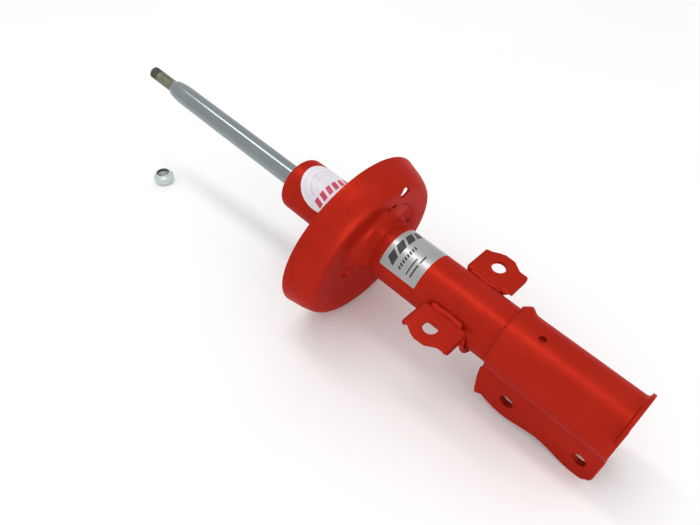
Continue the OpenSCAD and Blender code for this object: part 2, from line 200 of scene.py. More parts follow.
PLAINS = {
    "nut_nylon": ((0.010, 0.020, 0.022), (0.03, 0.05, 0.055), (0.3, 0.5), 900),
    "foil_ink": ((0.012, 0.012, 0.014), (0.03, 0.03, 0.032), (0.35, 0.5), 900, 0.05),
    "label_film": ((0.70, 0.67, 0.72), (0.76, 0.73, 0.775), (0.25, 0.4), 600, 0.05),
    "film_grey": ((0.56, 0.56, 0.64), (0.64, 0.64, 0.71), (0.3, 0.4), 600, 0.05),
    "film_red": ((0.50, 0.02, 0.07), (0.60, 0.04, 0.11), (0.3, 0.4), 600, 0.05),
    "seal_rubber": ((0.012, 0.012, 0.012), (0.03, 0.03, 0.03), (0.45, 0.65), 700),
    "bumper_urethane": ((0.50, 0.38, 0.18), (0.60, 0.48, 0.26), (0.4, 0.6), 700),
    "ptfe_band": ((0.07, 0.05, 0.045), (0.12, 0.09, 0.07), (0.4, 0.6), 1200),
}
MATS = {"red_paint": red_paint(), "rod_chrome": rod_chrome()}
MATS.update((name, metal(name, *look)) for name, look in METALS.items())
MATS.update((name, plain(name, *look)) for name, look in PLAINS.items())


def finish_cad_nodes():
    """Every carried-over CAD node takes the material of its slot."""
    for part in frame["record"]["subparts"]:
        mesh = frame["nodes"][part["node"]].data
        mesh.materials.clear()
        mesh.materials.append(MATS[part["material_slot"]])


# ---------------------------------------------------------------- mesh tools

def add_piece(name, shape, mats, body, nodes, indices=None, sharp=35):
    """A piece from (points in millimetres, faces) that stands in for the CAD's nodes. mats are names in MATS,
    where the first is also the slot, and indices picks one of them for each face."""
    points, faces = shape
    mesh = bpy.data.meshes.new(name)
    mesh.from_pydata((np.asarray(points) * MM).tolist(), [], [tuple(int(i) for i in f) for f in faces])
    for mat in mats:
        mesh.materials.append(MATS[mat])
    if indices is not None:
        mesh.polygons.foreach_set("material_index", np.asarray(indices, np.int32))
    work = bmesh.new()
    work.from_mesh(mesh)
    bmesh.ops.remove_doubles(work, verts=work.verts, dist=1e-7)
    bmesh.ops.recalc_face_normals(work, faces=work.faces)
    work.to_mesh(mesh)
    work.free()
    mesh.polygons.foreach_set("use_smooth", [True] * len(mesh.polygons))
    mesh.set_sharp_from_angle(angle=math.radians(sharp))
    piece = bpy.data.objects.new(name, mesh)
    bpy.context.scene.collection.objects.link(piece)
    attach(piece, body)
    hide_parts(*nodes)


def add_painted(name, shape, node):
    """A painted piece of the strut's body."""
    add_piece(name, shape, ["red_paint"], "strut_body", [node])


def around(x, radius, angle):
    """Points about the strut's axis; angle 0 is +Z and grows towards +Y."""
    return np.stack(np.broadcast_arrays(x, radius * np.sin(angle), AXIS_Z + radius * np.cos(angle)), -1)


def turn_angles(segments):
    return np.linspace(0, 2 * math.pi, segments, endpoint=False)


def rings_to_faces(count, segments, closed):
    """Faces between rings of points: a closed row of rings is a torus, an open one has a cap at each end."""
    faces = []
    for i in range(count if closed else count - 1):
        a, b = i * segments, (i + 1) % count * segments
        faces += [(a + j, a + (j + 1) % segments, b + (j + 1) % segments, b + j) for j in range(segments)]
    if not closed:
        faces += [tuple(range(segments)), tuple(range((count - 1) * segments, count * segments))]
    return faces


def revolve(rows, segments, closed=False):
    """A turned shape from rows of (x, radius), where a radius may be a number for each segment."""
    angle = turn_angles(segments)
    points = np.concatenate([around(x, np.broadcast_to(r, (segments,)), angle) for x, r in rows])
    return points, rings_to_faces(len(rows), segments, closed)


def arc(centre, radius, start, end, n):
    """Points of an arc in the (x, radius) plane, with angles in degrees from +x."""
    return [(centre[0] + radius * math.cos(t), centre[1] + radius * math.sin(t))
            for t in np.radians(np.linspace(start, end, n))]


def rounded(corners, step=2.0):
    """A closed outline through corners (x, y, radius), with arcs at the corners."""
    out = []
    for i, (x, y, r) in enumerate(corners):
        p = np.array([x, y], float)
        a = np.array(corners[i - 1][:2], float) - p
        b = np.array(corners[(i + 1) % len(corners)][:2], float) - p
        la, lb = np.linalg.norm(a), np.linalg.norm(b)
        a, b = a / la, b / lb
        half = math.acos(max(-1.0, min(1.0, float(a @ b)))) / 2
        if r <= 0 or half > 1.55:
            out.append(p)
            continue
        reach = min(r / math.tan(half), 0.48 * la, 0.48 * lb)
        r = reach * math.tan(half)
        centre = p + (a + b) / np.linalg.norm(a + b) * (r / math.sin(half))
        n = max(3, math.ceil((math.pi - 2 * half) * r / step) + 3)
        for t in np.linspace(0, 1, n):
            q = (1 - t) * (p + a * reach) + t * (p + b * reach) - centre
            out.append(centre + q / np.linalg.norm(q) * r)
    points = []
    for a, b in zip(out, out[1:] + out[:1]):
        length = np.linalg.norm(b - a)
        if length < 1e-4:
            continue
        n = max(1, math.ceil(length / step))
        points += [a + (b - a) * k / n for k in range(n)]
    return np.array(points)


def rectangle(x0, x1, y0, y1, radius, step):
    return rounded([(x0, y0, radius), (x1, y0, radius), (x1, y1, radius), (x0, y1, radius)], step)


def area(loop):
    x, y = loop[:, 0], loop[:, 1]
    return 0.5 * np.sum(x * np.roll(y, -1) - np.roll(x, -1) * y)


def inward(loop):
    """Normals to the left of a closed outline, a little longer at corners."""
    ahead = np.roll(loop, -1, 0) - loop
    behind = loop - np.roll(loop, 1, 0)
    ahead /= np.linalg.norm(ahead, axis=1)[:, None]
    behind /= np.linalg.norm(behind, axis=1)[:, None]
    n = np.stack([-(ahead[:, 1] + behind[:, 1]), ahead[:, 0] + behind[:, 0]], 1)
    length = np.linalg.norm(n, axis=1)[:, None]
    return n / length * np.minimum(2 / np.maximum(length, 1e-6), 1.5)


def inside(points, loop):
    x, y = points[:, 0][:, None], points[:, 1][:, None]
    a, b = loop, np.roll(loop, -1, 0)
    crosses = (a[:, 1] > y) != (b[:, 1] > y)
    slope = (b[:, 0] - a[:, 0]) / np.where(b[:, 1] == a[:, 1], 1e-12, b[:, 1] - a[:, 1])
    return (crosses & (x < slope * (y - a[:, 1]) + a[:, 0])).sum(1) % 2 == 1


def circle_loop(centre, radius, n=48):
    a = turn_angles(n)
    return np.stack([centre[0] + radius * np.cos(a), centre[1] + radius * np.sin(a)], 1)


def square_grid(lo, hi, step):
    columns, rows = [np.arange(lo[k], hi[k], step[k]) for k in (0, 1)]
    return np.stack(np.meshgrid(columns, rows), -1).reshape(-1, 2)


class Blank:
    """A flat blank cut to an outline with holes, meshed finely enough to be bent over any surface. edge is
    the radius of its rims, and marks are outlines of prints that the mesh follows."""

    def __init__(self, outer, holes, grid, edge, marks=()):
        loops = [outer if area(outer) > 0 else outer[::-1]]
        loops += [h[::-1] if area(h) > 0 else h for h in holes]
        self.edge = edge
        self.rims = [(loop, inward(loop)) for loop in loops]
        inset = [loop + n * edge for loop, n in self.rims]
        grid = grid[self.within(grid, inset)]
        near = np.concatenate(inset + list(marks))
        clear, batch = 0.6, 1000
        apart = [np.linalg.norm(grid[i:i + batch, None] - near[None], axis=2).min(1) > clear
                 for i in range(0, len(grid), batch)]
        grid = grid[np.concatenate(apart)]
        points, edges = [], []
        for loop in inset + list(marks):
            at, n = len(points), len(loop)
            edges += [(at + i, at + (i + 1) % n) for i in range(n)]
            points += loop.tolist()
        points += grid.tolist()
        made = geometry.delaunay_2d_cdt([Vector(p) for p in points], edges, [], 0, 1e-6)
        self.flat = np.array([tuple(v) for v in made[0]])
        tris = np.array(made[2])
        middle = self.flat[tris].mean(1)
        keep = self.within(middle, inset)
        self.tris, self.middle = tris[keep], middle[keep]

    @staticmethod
    def within(points, loops):
        keep = inside(points, loops[0])
        for hole in loops[1:]:
            keep &= ~inside(points, hole)
        return keep

    def solid(self, surface, thickness, rim_steps=3):
        """The bent sheet with rounded rims. thickness is a number or a function of the flat points;
        a negative one puts the sheet on the surface's other side."""
        depth = thickness if callable(thickness) else lambda flat: np.full(len(flat), float(thickness))
        full = depth(self.flat)
        sign = np.sign(full[0])
        points = [bent(surface, self.flat, 0 * full), bent(surface, self.flat, full)]
        count = len(self.flat)
        faces = [tuple(t) for t in self.tris] + [tuple(t[::-1] + count) for t in self.tris]
        at = 2 * count
        e = self.edge
        turn = np.linspace(0, math.pi / 2, rim_steps + 1)
        ladder = [(e * (1 - math.sin(a)), e * (1 - math.cos(a))) for a in turn]
        for loop, n in self.rims:
            size = len(loop)
            total = depth(loop)
            rows = [(i, sign * d + 0 * total) for i, d in ladder]
            rows += [(i, total - sign * d) for i, d in reversed(ladder)]
            for inset, d in rows:
                points.append(bent(surface, loop + n * inset, d))
            for k in range(len(rows) - 1):
                a, b = at + k * size, at + (k + 1) * size
                faces += [(a + (i + 1) % size, a + i, b + i, b + (i + 1) % size) for i in range(size)]
            at += len(rows) * size
        return np.concatenate(points), faces

    def paint(self, loops_and_index, face_count):
        """Material index of each face: marks are on the first side only."""
        index = np.zeros(face_count, int)
        for loops, value in loops_and_index:
            hit = np.zeros(len(self.middle), bool)
            for loop in loops:
                hit ^= inside(self.middle, loop)
            index[:len(self.middle)][hit] = value
        return index


def bent(surface, flat, depth):
    """Flat points laid on a surface and moved along its normal."""
    s, t = flat[:, 0], flat[:, 1]
    h = 0.05
    n = np.cross(surface(s + h, t) - surface(s - h, t), surface(s, t + h) - surface(s, t - h))
    n /= np.linalg.norm(n, axis=1)[:, None]
    return surface(s, t) + n * depth[:, None]


def trail(start, heading, pieces):
    """A section drawn by walking, where pieces are (length, curvature). It gives a function of the distance
    walked."""
    starts, p, h, at = [], np.array(start, float), math.radians(heading), 0.0
    for length, k in pieces:
        starts.append((at, p[0], p[1], h, k))
        turned = h + k * length
        if k:
            p = p + np.array([math.sin(turned) - math.sin(h), math.cos(h) - math.cos(turned)]) / k
        else:
            p = p + length * np.array([math.cos(h), math.sin(h)])
        h = turned
        at += length
    table = np.array(starts)

    def walk(s):
        row = table[np.clip(np.searchsorted(table[:, 0], s, side="right") - 1, 0, len(table) - 1)]
        t, h0, k = s - row[:, 0], row[:, 3], row[:, 4]
        bend = np.where(k == 0, 1.0, k)
        x = np.where(k == 0, t * np.cos(h0), (np.sin(h0 + k * t) - np.sin(h0)) / bend)
        y = np.where(k == 0, t * np.sin(h0), (np.cos(h0) - np.cos(h0 + k * t)) / bend)
        return row[:, 1] + x, row[:, 2] + y, h0 + k * t

    return walk


def smooth(value, start, end):
    """0 at start, 1 at end, eased between."""
    t = np.clip((value - start) / (end - start), 0, 1)
    return t * t * (3 - 2 * t)


def eased(stations, values, width, span):
    """A curve through stations with its corners rounded over about width."""
    fine = np.linspace(span[0] - width, span[1] + width, 2000)
    step = fine[1] - fine[0]
    kernel = np.hanning(max(3, int(width / step) | 1))
    y = np.interp(fine, stations, values)
    padded = np.pad(y, len(kernel) // 2, mode="edge")
    y = np.convolve(padded, kernel / kernel.sum(), mode="valid")
    return lambda q: np.interp(q, fine, y)


def bead(path, radius, ripple, seed, sides=14):
    """A weld bead swept along a path, with overlapping ripples. Its ends are rounded."""
    path = np.asarray(path, float)
    length = np.concatenate([[0], np.cumsum(np.linalg.norm(np.diff(path, axis=0), axis=1))])
    count = max(8, int(length[-1] / 0.5))
    at = np.linspace(0, length[-1], count)
    line = np.stack([np.interp(at, length, path[:, k]) for k in range(3)], 1)
    ahead = np.gradient(line, axis=0)
    ahead /= np.linalg.norm(ahead, axis=1)[:, None]
    side = np.cross(ahead, [0.3, 0.2, 0.93])
    side /= np.linalg.norm(side, axis=1)[:, None]
    up = np.cross(side, ahead)
    rng = np.random.default_rng(seed)
    wander = np.interp(at, np.linspace(0, length[-1], 9), rng.uniform(-1, 1, 9))
    phase = (at / ripple + 0.35 * wander) % 1
    swell = 1 - 0.06 * phase ** 2 + 0.04 * wander
    from_end = np.clip(np.minimum(at, length[-1] - at) / radius, 0.02, 1)
    r = radius * swell * np.sqrt(from_end * (2 - from_end))
    a = turn_angles(sides)[None, :, None]
    points = line[:, None] + r[:, None, None] * (np.cos(a) * side[:, None] + np.sin(a) * up[:, None])
    points = points + (0.1 * radius * wander)[:, None, None] * side[:, None]
    return points.reshape(-1, 3), rings_to_faces(count, sides, False)


def joined(shapes):
    points, faces, at = [], [], 0
    for p, f in shapes:
        points.append(p)
        faces += [tuple(i + at for i in face) for face in f]
        at += len(p)
    return np.concatenate(points), faces


# ---------------------------------------------------------------- rod and tube

def thread_rows(start, end, major, depth, segments, run_out=1.5, per_pitch=8):
    """Rows of a right-hand thread between start and end, fading out at both ends."""
    angle = np.linspace(0, 1, segments, endpoint=False)
    rows = []
    for x in np.arange(start, end + 1e-6, THREAD_PITCH / per_pitch):
        phase = (x / THREAD_PITCH - angle) % 1
        groove = np.clip(1.25 - np.abs(phase - 0.5) * 3.2, 0, 1)
        fade = np.clip((x - start) / run_out, 0, 1) * np.clip((end - x) / run_out, 0, 1)
        rows.append((x, major - depth * groove * fade))
    return rows


def hexagon_radius(half_width, segments, turn=0):
    """Radius of a hexagon at each segment, from half its width across the flats."""
    angle = np.linspace(0, 360, segments, endpoint=False)
    return half_width / np.cos(np.radians(((angle - turn) % 60) - 30))


def build_rod():
    """The rod from the stud's hexagon socket, thread and rounded shoulder to the spigot for the piston."""
    segments = 96
    socket = hexagon_radius(2.8, segments)
    rows = [(ROD_TIP + 8.6, 0.02), (ROD_TIP + 7.4, socket), (ROD_TIP + 0.5, socket), (ROD_TIP, socket + 0.45)]
    rows += [(ROD_TIP, STUD_R - 1.5), (ROD_TIP + 0.2, STUD_R - 1.3)]
    rows += thread_rows(ROD_TIP + 1.2, STUD_END - 2.5, STUD_R, 0.75, segments)
    rows += [(STUD_END - 1.5, STUD_R - 0.1), (STUD_END - 0.6, STUD_R - 0.1)]
    foot = STUD_R + 0.7
    rows += [(STUD_END + SHOULDER_LENGTH * (1 - math.cos(t)), foot + (ROD_R - foot) * math.sin(t))
             for t in np.radians(np.linspace(0, 90, 16))]
    rows += [(x, ROD_R) for x in np.linspace(STUD_END + SHOULDER_LENGTH + 5, SPIGOT_X, 24)]
    rows += [(SPIGOT_X, STUD_R - 0.5), (ROD_END - 1, STUD_R - 0.5), (ROD_END, STUD_R - 1.5), (ROD_END, 0.02)]
    shape = revolve(rows, segments)
    place = np.repeat([x for x, _ in rows[:-1]], segments)
    index = np.where(place < STUD_DARK_TO, 1, np.where(place < STUD_END - 0.7, 2, 0))
    add_piece("piston_rod_turned", shape, ["rod_chrome", "stud_dark", "stud_olive"], "rod", ["piston_rod"],
              np.append(index, [1, 0]))


def build_tube():
    """The body tube, rolled in at its top end."""
    wall, lip_r, corner = 2.0, 13.0, 5.0
    outer = [(TUBE_TOP + 0.3, lip_r), (TUBE_TOP, lip_r + 0.4), (TUBE_TOP, TUBE_R - corner)]
    outer += arc((TUBE_TOP + corner, TUBE_R - corner), corner, 180, 90, 12)
    outer += [(x, TUBE_R) for x in np.linspace(TUBE_TOP + corner + 4, TUBE_END - 0.5, 50)]
    outer += [(TUBE_END, TUBE_R - 0.5), (TUBE_END, TUBE_R - wall + 0.3), (TUBE_END - 0.3, TUBE_R - wall)]
    inner = [(TUBE_TOP + corner, TUBE_R - wall)]
    inner += arc((TUBE_TOP + corner, TUBE_R - corner), corner - wall, 90, 180, 8)
    inner += [(TUBE_TOP + wall, lip_r + 0.4), (TUBE_TOP + wall - 0.3, lip_r)]
    add_painted("damper_tube", revolve(outer + inner, 144, closed=True), "outer_tube")


# ---------------------------------------------------------------- spring seat

SEAT_DEPTH = 29.0
SEAT_SHEET = 2.4
SEAT_OFFSET = 14.0
SEAT_X = ROD_TIP + 289
SEAT_CENTRE = np.array([SEAT_X, 0, AXIS_Z - SEAT_OFFSET])
SEAT_UP = np.array([-SEAT_AXIS[2], 0, SEAT_AXIS[0]])
NECK_START = 12.0
NECK_R = 33.0
NECK_END = 45.0
WEB_BLEND = 56.0
# Each vent slot: its angle and radius about the pan's axis, half its length, its turn, and its tongue's
# length, half width and height
SLOTS = [(14, 50.5, 6, 0, 15, 8, 3.2), (78, 47.5, 6, 0, 15, 8, 3.2), (237, 26, 12, -9, 14, 15, 4.0)]
SLOT_WIDTH = 2.4
RIM_Q = 101.5
DRAIN_ANGLE = math.radians(20)
DRAIN_AT = 66.5
DRAIN_R = 5.2


def web_share(q):
    """How much of the web follows the neck's axis (1) and not the pan's own (0)."""
    return smooth(q, WEB_BLEND, NECK_R)


def on_web(angle, radius):
    """Place in the flat blank of a point of the web given about the pan's axis: (distance, angle)."""
    up, side = radius * math.cos(math.radians(angle)), radius * math.sin(math.radians(angle))
    q = radius
    for _ in range(30):
        level = up - SEAT_OFFSET * web_share(q)
        q = math.hypot(level, side)
    return q, math.atan2(side, level)


def slot_frame(slot):
    """Place of a slot's inner edge in the flat blank, and the directions out of it and along it."""
    q, t = on_web(slot[0], slot[1])
    turned = t + math.radians(slot[3])
    return (np.array([q * math.cos(t), q * math.sin(t)]), np.array([math.cos(turned), math.sin(turned)]),
            np.array([-math.sin(turned), math.cos(turned)]))


def tongue_rise(u, v):
    """Height of the pressed tongues: each rises towards a slot on its outer side."""
    total = np.zeros(len(u))
    for slot in SLOTS:
        at, out, across = slot_frame(slot)
        length, half, height = slot[4:]
        back = -((u - at[0]) * out[0] + (v - at[1]) * out[1])
        beside = np.abs((u - at[0]) * across[0] + (v - at[1]) * across[1])
        taper = np.clip(1 - back / length, 0, 1)
        roof = np.clip(1 - beside / (half * taper + 0.01), 0, 1)
        total += np.where(back > 0, height * taper * smooth(roof, 0, 0.75), 0)
    return total


def seat_surface():
    """Underside of the pressed pan. Flat radius q runs from the neck's end over the web and the coil's
    groove (57 to 69) to the rim; the pan is centred on its own axis and the neck on the strut's."""
    d = SEAT_DEPTH
    pan_r = [(31, 31), (57, 57), (69, 69), (73.1, 72.2), (77.9, 74.7), (85.9, 77.5), (RIM_Q, 81)]
    pan_z = [(31, 0.9), (39, 0.9), (45, 0.92), (51, 0.965), (57, 1), (69, 1), (73.1, 0.92), (77.9, 0.78),
             (85.9, 0.52), (RIM_Q, 0)]
    span = (10, 102)
    radius = eased(*zip(*pan_r), 3.5, span)
    height = eased(*zip(*[(q, v * d) for q, v in pan_z]), 8.0, span)
    neck_q = [NECK_START, 17, 21, 25, 29, NECK_R, 38, 60]
    neck_r = eased(neck_q, [25.4, 26.1, 27.1, 28.7, 31.0, 34.0, 38.6, 60], 4.0, span)
    neck_x = eased(neck_q, [NECK_END, 40, 36.2, 33, 30.4, 28.6, 27.9, 27.9], 4.0, span)
    lean = -SEAT_UP[0] / SEAT_UP[2]

    def surface(u, v):
        q = np.hypot(u, v)
        c, s = u / q, v / q
        rise = height(q) + tongue_rise(u, v)
        pan = (SEAT_CENTRE + (radius(q) * c)[:, None] * SEAT_UP + np.stack([0 * q, radius(q) * s, 0 * q], 1)
               + rise[:, None] * SEAT_AXIS)
        neck_at = SEAT_X + neck_x(q) + tongue_rise(u, v) - lean * neck_r(q) * c * smooth(q, 15, NECK_R)
        neck = np.stack([neck_at, neck_r(q) * s, AXIS_Z + neck_r(q) * c], 1)
        w = web_share(q)[:, None]
        return (1 - w) * pan + w * neck

    return surface


def build_seat():
    segments = 240
    spacings = ((14, 30, 2.0), (30, 60, 1.1), (60, 80, 1.4), (80, 99, 2.2))
    rings = np.concatenate([np.arange(*spacing) for spacing in spacings])
    grid = np.concatenate([circle_loop((0, 0), q, segments) for q in rings])
    holes = [circle_loop((0, 0), NECK_START, 120)]
    for slot in SLOTS:
        at, out, across = slot_frame(slot)
        w, half = SLOT_WIDTH, slot[2]
        corners = rounded([(0, -half, 1.0), (w, -half, 1.0), (w, half, 1.0), (0, half, 1.0)], 1.0)
        holes.append(np.array([at + out * p[0] + across * p[1] for p in corners]))
    drain_centre = (DRAIN_AT * math.cos(DRAIN_ANGLE), DRAIN_AT * math.sin(DRAIN_ANGLE))
    holes.append(circle_loop(drain_centre, DRAIN_R, 40))
    blank = Blank(circle_loop((0, 0), RIM_Q, segments), holes, grid, 0.5)

    def thickness(flat):
        """The neck's edge is drawn thin."""
        thin = 0.7
        return thin + (SEAT_SHEET - thin) * smooth(np.hypot(flat[:, 0], flat[:, 1]), NECK_START, 30)

    add_painted("spring_seat_pressing", blank.solid(seat_surface(), thickness), "spring_seat")


# ---------------------------------------------------------------- knuckle bracket

WRAP_R = TUBE_R + SHEET + GAP
BRACKET_TOP = BRACKET_END - 108.5
FOLD_R = 4.0
FLANGE_OUT = 18.0
FOLD_UP = -math.sqrt((WRAP_R + FOLD_R) ** 2 - (FLANGE_OUT + FOLD_R) ** 2)
FOLD_ANGLE = math.atan2(FLANGE_OUT + FOLD_R, FOLD_UP)
WRAP_LENGTH = WRAP_R * FOLD_ANGLE
FLANGE_START = WRAP_LENGTH + FOLD_R * (FOLD_ANGLE - math.pi / 2)
knuckle_section = trail((0, WRAP_R), 0, [(WRAP_LENGTH, -1 / WRAP_R), (FLANGE_START - WRAP_LENGTH, 1 / FOLD_R),
                                         (60, 0)])


def flange_s(up):
    """Distance along the section to a place on the flange, where up is measured from the strut's axis."""
    return FLANGE_START + FOLD_UP - up


def lobe_s(x):
    """Lower edge of a flange: a lobe under each bolt and a waist between them."""
    return flange_s(-AXIS_Z - 17 + 3 * math.cos(math.pi * x / BOLT_X))


def flare(distance, length, out):
    """How far an edge is turned outwards, at a distance from it."""
    t = np.clip(1 - distance / length, 0, 1)
    return out * t * t * (1.6 - 0.6 * t)


def fold(beyond, bend):
    """Distance past a fold line turned through a right angle: (along, square to the sheet)."""
    t = np.clip(beyond / bend, 0, math.pi / 2)
    straight = np.maximum(beyond - bend * math.pi / 2, 0)
    return bend * np.sin(t), bend * (1 - np.cos(t)) + straight


TAB_LENGTH = 3.0
LIP_HALF = 30.4
LIP_BEND = 2.8
LIP_FOLD_X = BRACKET_END - 1.2 - SHEET - LIP_BEND
LIP_RISE = 3.8
CREASE_AT = 28.9
LOCATING_X = BRACKET_END - 83
LOCATING_R = 3.0
# Places of the small dimples in a flange: (x, height from the strut's axis)
DIMPLES = ((-46.0, -40.5), (-4.4, -39.0))


def knuckle_surface(x, s):
    """The pressing's outer face. x runs along the strut and s from the wrap's top over its side and the
    fold down the flange; the other half has s below 0."""
    side = np.where(s < 0, -1.0, 1.0)
    along = np.abs(s)
    y, z, heading = knuckle_section(along)
    # The lip at the lower end turns outwards
    beyond = np.maximum(x - LIP_FOLD_X, 0) * (along < LIP_HALF + 0.6)
    place, out = fold(beyond, LIP_BEND)
    place = x - beyond + place
    # The flanges flare out at both ends
    drop = np.interp(along, [60, 68, 84, 108], [0, 2.8, 2.8, 0.6])
    on_flange = smooth(along, 64, 72) * (1 - smooth(along, 103, 109))
    out = out + flare(x - (BRACKET_TOP - drop), 7, 3.5) * on_flange
    out += flare(BRACKET_END - 1 - x, 5, 1.8) * smooth(along, 60, 76)
    # The tab at the upper end is pressed out, and a fine crease runs along each side of the wrap
    out += 4 * np.exp(-((x - BRACKET_TOP - 3) / 4) ** 2) * smooth(s, 8, 15) * (1 - smooth(s, 20, 28))
    out += 0.5 * np.exp(-((along - CREASE_AT) / 0.6) ** 2) * smooth(x, -60, -54) * (1 - smooth(x, 18, 26))
    for at, up in DIMPLES:
        out -= 0.7 * np.exp(-((x - at) ** 2 + (along - flange_s(up)) ** 2) / 3.0)
    return np.stack([place, side * (y - out * np.sin(heading)), AXIS_Z + z + out * np.cos(heading)], 1)


def build_knuckle_bracket():
    top, end = BRACKET_TOP, BRACKET_END
    lip_edge = LIP_FOLD_X + LIP_BEND * math.pi / 2 + LIP_RISE - LIP_BEND
    # One half of the outline runs from the top edge round the flange's upper end, along its lobes, round
    # its lower end and out to the lip
    tab = [(top, 0, 0), (top, 9, 2), (top - TAB_LENGTH, 14, 3), (top - TAB_LENGTH, 22, 3), (top, 27, 2)]
    near = [(top, 58, 2), (top - 2.8, 66, 3), (top - 2.8, flange_s(-37), 3),
            (top - 0.6, flange_s(-61.2), 1.2), (top + 3.5, flange_s(-58.5), 1.0)]
    near += [(x, lobe_s(x), 0) for x in np.arange(top + 9, end - 6, 3)]
    near += [(end - 1.5, flange_s(-55), 4), (end - 1, LIP_HALF + 4, 2),
             (LIP_FOLD_X + 1.5, LIP_HALF + 1.8, 0.6), (LIP_FOLD_X + 1.5, LIP_HALF + 0.5, 0.6),
             (lip_edge, LIP_HALF - 1.5, 3)]
    far = [(x, -s, r) for x, s, r in reversed(near)]
    outer = rounded(tab + near + far, 1.5)
    holes = [circle_loop((bolt * BOLT_X, side * flange_s(-AXIS_Z)), BOLT_R)
             for bolt in (-1, 1) for side in (-1, 1)]
    holes.append(circle_loop((LOCATING_X, -1.5), LOCATING_R, 32))
    grid = square_grid((top - 8, -114), (end + 1, 114), (2.2, 1.6))
    fine = square_grid((LIP_FOLD_X - 1, -34), (end + 1, 34), (0.8, 2.0))
    grid = np.concatenate([grid[(grid[:, 0] < LIP_FOLD_X - 1) | (np.abs(grid[:, 1]) > 34)], fine])
    blank = Blank(outer, holes, grid, 0.5)
    add_painted("knuckle_bracket_pressing", blank.solid(knuckle_surface, -SHEET), "knuckle_bracket")


def build_doublers():
    """The pair of plates inside the flanges, drilled with them."""
    lo, hi = low("knuckle_doublers"), high("knuckle_doublers")
    outer = rectangle(lo[0], hi[0], lo[2], hi[2], 10.0, 2.0)
    holes = [circle_loop((bolt * BOLT_X, 0), BOLT_R) for bolt in (-1, 1)]
    blank = Blank(outer, holes, square_grid(lo[[0, 2]], hi[[0, 2]], (4, 4)), 0.5)
    shapes = []
    for side in (-1, 1):
        shapes.append(blank.solid(lambda x, z: np.stack([x, 0 * x + side * hi[1], z], 1), side * SHEET))
    add_painted("knuckle_doubler_plates", joined(shapes), "knuckle_doublers")


# ---------------------------------------------------------------- stabiliser link bracket

INNER_R = TUBE_R + GAP
EAR_FOLD = 5.0
EAR_FOLD_Y = math.sqrt((INNER_R + EAR_FOLD) ** 2 - (EAR_UP - EAR_FOLD) ** 2)
EAR_ANGLE = math.pi - math.atan2(EAR_FOLD_Y, EAR_UP - EAR_FOLD)
SADDLE_LENGTH = INNER_R * EAR_ANGLE
EAR_START = SADDLE_LENGTH + EAR_FOLD * EAR_ANGLE
link_section = trail((0, -INNER_R), 0, [(SADDLE_LENGTH, 1 / INNER_R), (EAR_FOLD * EAR_ANGLE, -1 / EAR_FOLD),
                                        (60, 0)])
LINK_TOP = LINK_X - 20.3
LINK_END = LINK_X + 23.2
EDGE_BEND = 3.5


def ear_s(y):
    """Distance along the section to a place on the ear, where y is measured from the strut's axis."""
    return EAR_START + y - EAR_FOLD_Y


def link_surface(x, s):
    """The pressing's face on the tube's side, which is also the ear's upper face. s runs from under the tube
    round the saddle and over the fold along the ear. Both ends of the pressing are turned away from this
    face."""
    side = np.where(s < 0, -1.0, 1.0)
    y, z, heading = link_section(np.abs(s))
    inner_low, inner_high = LINK_TOP + EDGE_BEND, LINK_END - EDGE_BEND
    past_low, down_low = fold(np.maximum(inner_low - x, 0), EDGE_BEND)
    past_high, down_high = fold(np.maximum(x - inner_high, 0), EDGE_BEND)
    place = np.clip(x, inner_low, inner_high) - past_low + past_high
    down = down_low + down_high
    return np.stack([place, side * (y + down * np.sin(heading)), AXIS_Z + z - down * np.cos(heading)], 1)


def build_link_bracket():
    lo, hi = LINK_TOP - 6.5, LINK_END + 4.5
    upper_notch = [(LINK_TOP + 0.5, SADDLE_LENGTH - 10, 1), (LINK_TOP + 4, SADDLE_LENGTH - 7, 1.5),
                   (LINK_TOP + 4, SADDLE_LENGTH + 1, 1.5), (LINK_TOP - 2, EAR_START + 0.5, 0.5)]
    lobe = [(LINK_X - 17, 53.0, 1), (LINK_X - 14.5, 53.4, 2), (LINK_X - 8, 57.2, 3), (LINK_X - 3.5, 58.8, 4),
            (LINK_X + 6, 58.4, 4), (LINK_X + 10, 55.6, 3), (LINK_X + 14.5, 52.8, 3), (LINK_X + 19, 52.5, 2)]
    ear = [(lo, EAR_START + 2, 1.5), (lo + 0.5, ear_s(52.6), 1.5)]
    ear += [(x, ear_s(y), r) for x, y, r in lobe]
    ear += [(LINK_END, ear_s(53.2), 1), (hi, ear_s(50), 2), (hi, EAR_START + 2, 1.5)]
    lower_notch = [(LINK_END + 2, EAR_START + 0.5, 0.5), (LINK_END - 5, SADDLE_LENGTH + 3, 1.5),
                   (LINK_END - 5, SADDLE_LENGTH - 3, 1.5)]
    saddle = [(hi - 1.5, SADDLE_LENGTH - 8, 1.5), (hi - 1, SADDLE_LENGTH - 20, 2)]
    near = upper_notch + ear + lower_notch + saddle
    far = [(x, -s, r) for x, s, r in reversed(near)]
    holes = [circle_loop((LINK_X, side * ear_s(LINK_Y)), LINK_R) for side in (-1, 1)]
    grid = square_grid((lo, -90), (hi + 2, 90), (1.3, 1.7))
    blank = Blank(rounded(near + far, 1.5), holes, grid, 0.5)
    add_painted("link_bracket_pressing", blank.solid(link_surface, -SHEET), "link_bracket")


# ---------------------------------------------------------------- welds

def lengthwise(start, end, count, across, up):
    """A path along the strut at a place measured from its axis."""
    return [(x, across, AXIS_Z + up) for x in np.linspace(start, end, count)]


def crosswise(x, radius, start, end, count):
    """A path round the strut's axis, with angles in degrees from +Z."""
    return around(x, radius, np.radians(np.linspace(start, end, count)))


